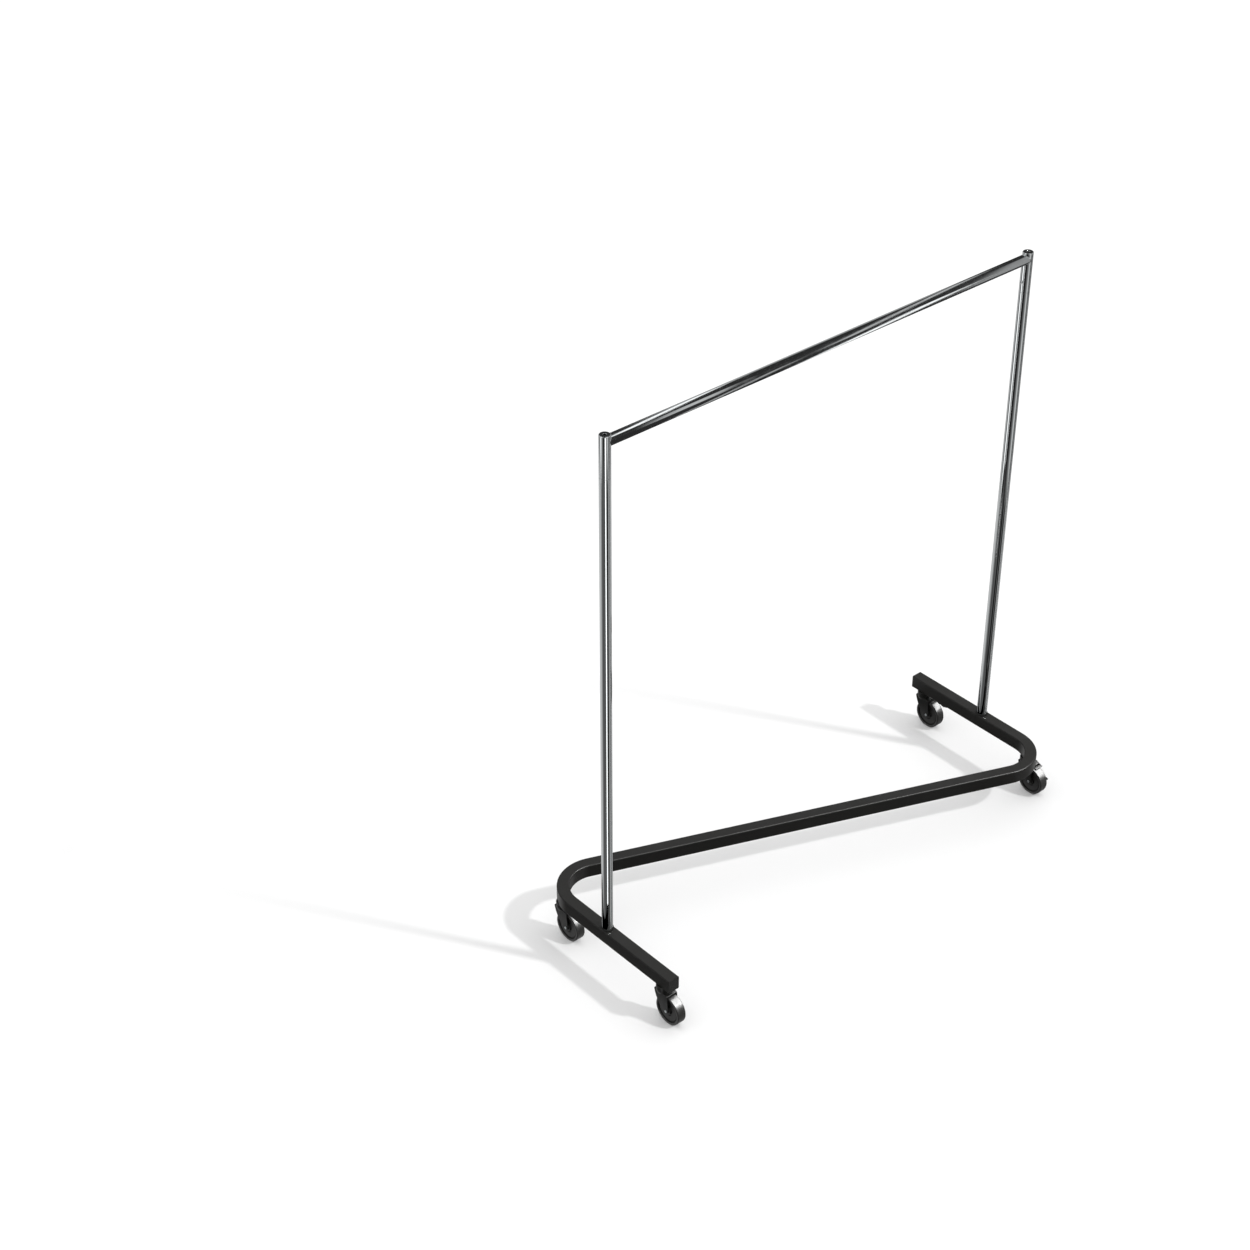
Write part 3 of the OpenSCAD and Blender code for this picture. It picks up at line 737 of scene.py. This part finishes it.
def ballRingTree():
    tree = bpy.data.node_groups.new("ballRing", "GeometryNodeTree")
    tree.interface.new_socket("Geometry", in_out="OUTPUT", socket_type="NodeSocketGeometry")
    for name, kind in (("ring radius", "Float"), ("ball radius", "Float"), ("count", "Int"),
                       ("centre", "Vector"), ("finish", "Material")):
        tree.interface.new_socket(name, in_out="INPUT", socket_type="NodeSocket" + kind)
    given = addNode(tree, "NodeGroupInput").outputs
    ring = addNode(tree, "GeometryNodeMeshCircle", {"Vertices": given["count"],
                                                    "Radius": given["ring radius"]})
    ball = addNode(tree, "GeometryNodeMeshUVSphere", {
        "Segments": caster["ball sides"], "Rings": caster["ball rings"], "Radius": given["ball radius"]})
    placed = addNode(tree, "GeometryNodeInstanceOnPoints", {"Points": ring.outputs[0],
                                                            "Instance": ball.outputs[0]})
    moved = addNode(tree, "GeometryNodeTransform", {"Geometry": placed.outputs[0],
                                                    "Translation": given["centre"]})
    real = addNode(tree, "GeometryNodeRealizeInstances", {0: moved.outputs[0]})
    done = addNode(tree, "GeometryNodeSetMaterial", {"Geometry": real.outputs[0],
                                                     "Material": given["finish"]})
    addNode(tree, "NodeGroupOutput", {0: done.outputs[0]})
    return tree


def camel(name):
    first, *rest = name.split("_")
    return first + "".join(word.capitalize() for word in rest)


def makeCaster(name, balls):
    x, y = centreOf(name + "_stem")
    tag = camel(name)
    top = tubeLow.z
    tyreLow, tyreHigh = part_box(name + "_tyre")
    axleAt = (tyreLow + tyreHigh) / 2
    onAxle = alongX(*axleAt)
    swivel, roller = name + "_swivel", name + "_roller"
    addPiece(tag + "Stem", shaded(turned(stemOutline(), Matrix.Translation((x, y, top)))),
             "dipped", "frame", "black_coated_steel", name + "_stem")
    ring = grown(balls, {"ring radius": caster["race radius"] * mm, "ball radius": caster["ball radius"] * mm,
                         "count": caster["ball count"], "finish": finishes["bearing"],
                         "centre": (x, y, top - (caster["head height"] + caster["swivel gap"] / 2) * mm)},
                 "ballRing")
    addPiece(tag + "Balls", shaded(baked(ring)), "bearing", swivel, "bearing_steel", name + "_balls")
    addPiece(tag + "Fork", softened(name + "_fork", caster["fork edge"], caster["fork edge steps"]),
             "capPlastic", swivel, "black_moulded_plastic", name + "_fork")
    addPiece(tag + "Axle", shaded(turned(axleOutline(), onAxle, axle["steps"])), "zinc", swivel,
             "zinc_plated_steel", name + "_axle")
    addPiece(tag + "Bush", shaded(turned(bushOutline(), onAxle, axle["steps"])), "plain", roller,
             "plain_steel", name + "_bush")
    addPiece(tag + "Wheel", shaded(turned(wheelOutline(), onAxle)), "wheelPlastic", roller,
             "wheel_plastic", name + "_wheel")
    addPiece(tag + "Tyre", shaded(turned(tyreOutline(), onAxle, tyre["steps"])), "rubber", roller,
             "tyre_rubber", name + "_tyre")


def makeCasters():
    balls = ballRingTree()
    for name in casterNames:
        makeCaster(name, balls)


makeCasters()
print("casters made")

# ---- brakes ----

brake = {"lever edge": 0.6, "lever edge steps": 3, "pin radius": 2.5, "pin steps": 48, "pin head radius": 4,
         "pin head height": 1.4, "pin dome": 1.0}


def makeBrakes():
    for name in ("right_front", "right_rear"):
        lever, pin = name + "_brake_lever", name + "_brake_pin"
        addPiece(camel(lever), softened(lever, brake["lever edge"], brake["lever edge steps"]),
                 "capPlastic", name + "_brake", "black_moulded_plastic", lever)
        low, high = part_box(pin)
        length = (high.x - low.x) / mm
        neck = length - brake["pin head height"]
        outline = roundedLine([
            (0, 0, 0), (brake["pin radius"], 0, 0.3), (brake["pin radius"], neck, 0),
            (brake["pin head radius"], neck, 0.2), (brake["pin head radius"], length, brake["pin dome"]),
            (0, length, 0)], closed=False, steps=4)
        place = alongX(low.x, (low.y + high.y) / 2, (low.z + high.z) / 2)
        addPiece(camel(pin), shaded(turned(outline, place, brake["pin steps"])), "zinc", name + "_swivel",
                 "zinc_plated_steel", pin)


makeBrakes()
print("brakes made")

# ---- studio ----

studio = {"floor size": 60, "floor": "#ececec", "sky": 1.03, "under sky": 0.1, "horizon": 0.04,
          "sun": 1.25, "sun angle": 3.5, "sun travel": (-0.55, 0.88, -1.0)}
chromeReturn = 0.72     # the share of light that chrome sends back

# Lights that only black pieces shine in: the way to each, its width in degrees, its power and the
# finishes that shine.
gloss = {
    "softbox": ((0.56, -0.31, 0.768), 60, 14.0, ("dipped", "capPlastic", "wheelPlastic", "rubber")),
    "edgeLight": ((0.5, -0.1, 0.86), 20, 5.0, ("powder", "glossyCap")),
}

# A tall narrow strip light that only mirrors see: the way to it from the left upright, its distance,
# its half width in degrees from there, its ends and its grey level in chrome.
stripLight = {"toward": -120, "distance": 0.3, "half width": 9, "low": -0.3, "high": 1.7, "level": 290}

# Black cards on the floor that keep the legs' left faces dark: from and to how far left of a leg's
# middle, how far beyond the legs' ends and how far under the floor, in metres.
cards = {"from": 0.075, "to": 0.24, "beyond": 0.1, "below": 0.001}

# What mirrors see: a dark room with soft bands of light. Angles are in degrees. Wide bands stand round
# the room: azimuth (0 is +X, 90 is +Y), half width, softness and grey level. Uprights low down see the
# lower row and high up the upper row.
lowerRow = [(-155, 14, 20, 85), (-106, 5, 8, 100), (-64, 10, 12, 142), (0, 56, 24, 160),
            (104, 46, 22, 180), (155, 12, 16, 135), (180, 9, 14, 82)]
upperRow = [(-190, 20, 30, 135), (-100, 26, 34, 100), (-81, 13, 34, 195), (-4, 20, 26, 140),
            (60, 44, 30, 145), (104, 18, 20, 165), (154, 9, 14, 275)]
rows = {"dark": 22, "split": -30.7, "blend": 1.2}

# Stripes that a bar along X sees: how far along X the reflection points, its turn about X, slant,
# half width, softness, first and last turn, grey level.
stripes = [(0.577, 84, 2200, 0.009, 0.008, 20, 112, 262), (0.655, 130, 3000, 0.005, 0.010, 40, 172, 190),
           (0.665, 205, 2600, 0.008, 0.010, 172, 290, 262), (0.592, 150, 9000, 0.012, 0.012, 130, 176, 180),
           (0.616, 198, 2600, 0.005, 0.008, 176, 290, 165), (0.704, 150, 9000, 0.014, 0.014, 95, 236, 138),
           (0.630, 0, 9000, 0.05, 0.03, -60, 40, 150)]
rollFrom = -42          # the turn about X where counting starts, in degrees
barZone = {"dark": 40, "from": 0.54, "to": 0.73, "soft": 0.03, "end blend": 14}
panels = [(0, 70, 80, 14, 12, 255), (90, 30, 60, 16, 16, 150), (-90, 25, 70, 14, 14, 190),
          (180, 30, 50, 16, 16, 170)]     # azimuth, elevation, half width, half height, softness, grey level


def addFloor():
    work = bmesh.new()
    bmesh.ops.create_grid(work, x_segments=1, y_segments=1, size=studio["floor size"] / 2)
    mesh = bpy.data.meshes.new("floor")
    work.to_mesh(mesh)
    work.free()
    mesh.materials.append(newFinish("paleFloor", Base_Color=linear(studio["floor"]), Roughness=0.9,
                                    Specular_IOR_Level=0.0)[0])
    floor = held(mesh, "floor")
    floor.visible_glossy = False          # shiny pieces see the room instead
    floor.visible_diffuse = False         # and no light comes back up to the undersides


def grey(level):                          # brightness that gives this grey level in a chrome mirror
    return ((level / 255 + 0.055) / 1.055) ** 2.4 / chromeReturn


def addStripLight():
    turn = Matrix.Rotation(math.radians(stripLight["toward"]), 3, "Z")
    away = stripLight["distance"]
    half = away * math.tan(math.radians(stripLight["half width"]))
    corners = [turn @ Vector((away, side * half, 0)) + Vector((-postX, 0, stripLight[end]))
               for end, sides in (("low", (-1, 1)), ("high", (1, -1))) for side in sides]
    mesh = bpy.data.meshes.new("stripLight")
    mesh.from_pydata(corners, [], [(0, 1, 2, 3)])
    mesh.materials.append(newFinish("stripGlow", Base_Color=linear("#000000"), Emission_Color=(1, 1, 1, 1),
                                    Emission_Strength=grey(stripLight["level"]))[0])
    strip = held(mesh, "stripLight")
    strip.visible_camera = strip.visible_diffuse = strip.visible_shadow = False


def addBlackCards():                      # on the floor left of each leg, seen by mirrors only
    work = bmesh.new()
    front, back = tubeLow.y - cards["beyond"], tubeHigh.y + cards["beyond"]
    for line in (-postX, postX):
        work.faces.new([work.verts.new((line - cards[end], y, -cards["below"])) for end, y in (
            ("from", front), ("to", front), ("to", back), ("from", back))])
    mesh = bpy.data.meshes.new("blackCards")
    work.to_mesh(mesh)
    work.free()
    mesh.materials.append(newFinish("blackCard", Base_Color=linear("#000000"), Specular_IOR_Level=0.0)[0])
    card = held(mesh, "blackCards")
    card.visible_camera = card.visible_diffuse = card.visible_shadow = False


def addSun(name, travel, angle, power):
    data = bpy.data.lights.new(name, "SUN")
    data.energy = power
    data.angle = math.radians(angle)
    sun = bpy.data.objects.new(name, data)
    sun.rotation_euler = travel.to_track_quat("-Z", "Y").to_euler()
    scene.collection.objects.link(sun)
    return sun


def addLamps():
    addSun("sun", Vector(studio["sun travel"]), studio["sun angle"], studio["sun"])
    for name, (toward, angle, power, keys) in gloss.items():
        lamp = addSun(name, -Vector(toward), angle, power)
        lamp.visible_diffuse = False
        shining = bpy.data.collections.new(name + "Pieces")
        for piece in scene.objects:
            if piece.type == "MESH" and {finishes[key] for key in keys} & set(piece.data.materials):
                shining.objects.link(piece)
        lamp.light_linking.receiver_collection = shining


def addRoom():
    world = bpy.data.worlds.new("studioRoom")
    world.use_nodes = True
    scene.world = world
    tree = world.node_tree
    tree.nodes.clear()
    sums = "ShaderNodeMath"

    def gapTo(value, middle, around=0):   # distance from a middle, round a full turn where it is an angle
        gap = addNode(tree, sums, {0: value, 1: middle}, operation="SUBTRACT")
        if around:
            gap = addNode(tree, sums, {0: gap.outputs[0], 1: around / 2, 2: -around / 2}, operation="WRAP")
        return addNode(tree, sums, {0: gap.outputs[0]}, operation="ABSOLUTE").outputs[0]

    def lit(glow, level, *limits):        # the level inside every limit (gap, half width, softness)
        mask = 1.0
        for gap, half, soft in limits:
            edge = addNode(tree, "ShaderNodeMapRange", {0: gap, 1: half + soft / 2, 2: half - soft / 2,
                                                        3: 0.0, 4: 1.0}, interpolation_type="SMOOTHSTEP")
            mask = addNode(tree, sums, {0: edge.outputs[0], 1: mask}, operation="MULTIPLY").outputs[0]
        return addNode(tree, "ShaderNodeMix", {0: mask, 2: glow, 3: level}).outputs[0]

    direction = addNode(tree, "ShaderNodeTexCoord").outputs["Generated"]
    x, y, z = addNode(tree, "ShaderNodeSeparateXYZ", {0: direction}).outputs
    turn = addNode(tree, sums, {0: y, 1: x}, operation="ARCTAN2").outputs[0]
    azimuth = addNode(tree, sums, {0: turn}, operation="DEGREES").outputs[0]
    lift = addNode(tree, sums, {0: z}, operation="ARCSINE").outputs[0]
    rise = addNode(tree, sums, {0: lift}, operation="DEGREES").outputs[0]
    turn = addNode(tree, sums, {0: z, 1: y}, operation="ARCTAN2").outputs[0]
    turn = addNode(tree, sums, {0: turn}, operation="DEGREES").outputs[0]
    roll = addNode(tree, sums, {0: turn, 1: rollFrom + 360, 2: rollFrom}, operation="WRAP").outputs[0]
    rings = []
    for row in (lowerRow, upperRow):
        glow = grey(rows["dark"])
        for az, half, soft, level in row:
            glow = lit(glow, grey(level), (gapTo(azimuth, az, 360), half, soft))
        rings.append(glow)
    glow = lit(rings[0], rings[1], (gapTo(rise, 90), 90 - rows["split"], rows["blend"]))
    for az, el, halfWidth, halfHeight, soft, level in panels:
        glow = lit(glow, grey(level), (gapTo(azimuth, az, 360), halfWidth, soft),
                   (gapTo(rise, el), halfHeight, soft))
    bar = grey(barZone["dark"])
    for along, turn, slant, half, soft, first, last, level in stripes:
        lean = addNode(tree, sums, {0: roll, 1: 1 / slant, 2: x}, operation="MULTIPLY_ADD").outputs[0]
        bar = lit(bar, grey(level), (gapTo(lean, along + turn / slant), half, soft),
                  (gapTo(roll, (first + last) / 2), (last - first) / 2, barZone["end blend"]))
    zoneHalf = (barZone["to"] - barZone["from"]) / 2
    glow = lit(glow, bar, (gapTo(x, barZone["from"] + zoneHalf), zoneHalf, barZone["soft"]))
    above = lit(studio["under sky"], studio["sky"], (gapTo(z, 1.0), 1.0, studio["horizon"]))
    path = addNode(tree, "ShaderNodeLightPath").outputs
    plain = addNode(tree, "ShaderNodeMix", {0: path["Is Camera Ray"], 2: above, 3: 1.0}).outputs[0]
    seen = addNode(tree, "ShaderNodeMix", {0: path["Is Glossy Ray"], 2: plain, 3: glow}).outputs[0]
    light = addNode(tree, "ShaderNodeBackground", {"Color": (1, 1, 1, 1), "Strength": seen})
    addNode(tree, "ShaderNodeOutputWorld", {0: light.outputs[0]})


addFloor()
addStripLight()
addBlackCards()
addLamps()
addRoom()
scene.view_settings.view_transform = "Standard"
print("studio lit")
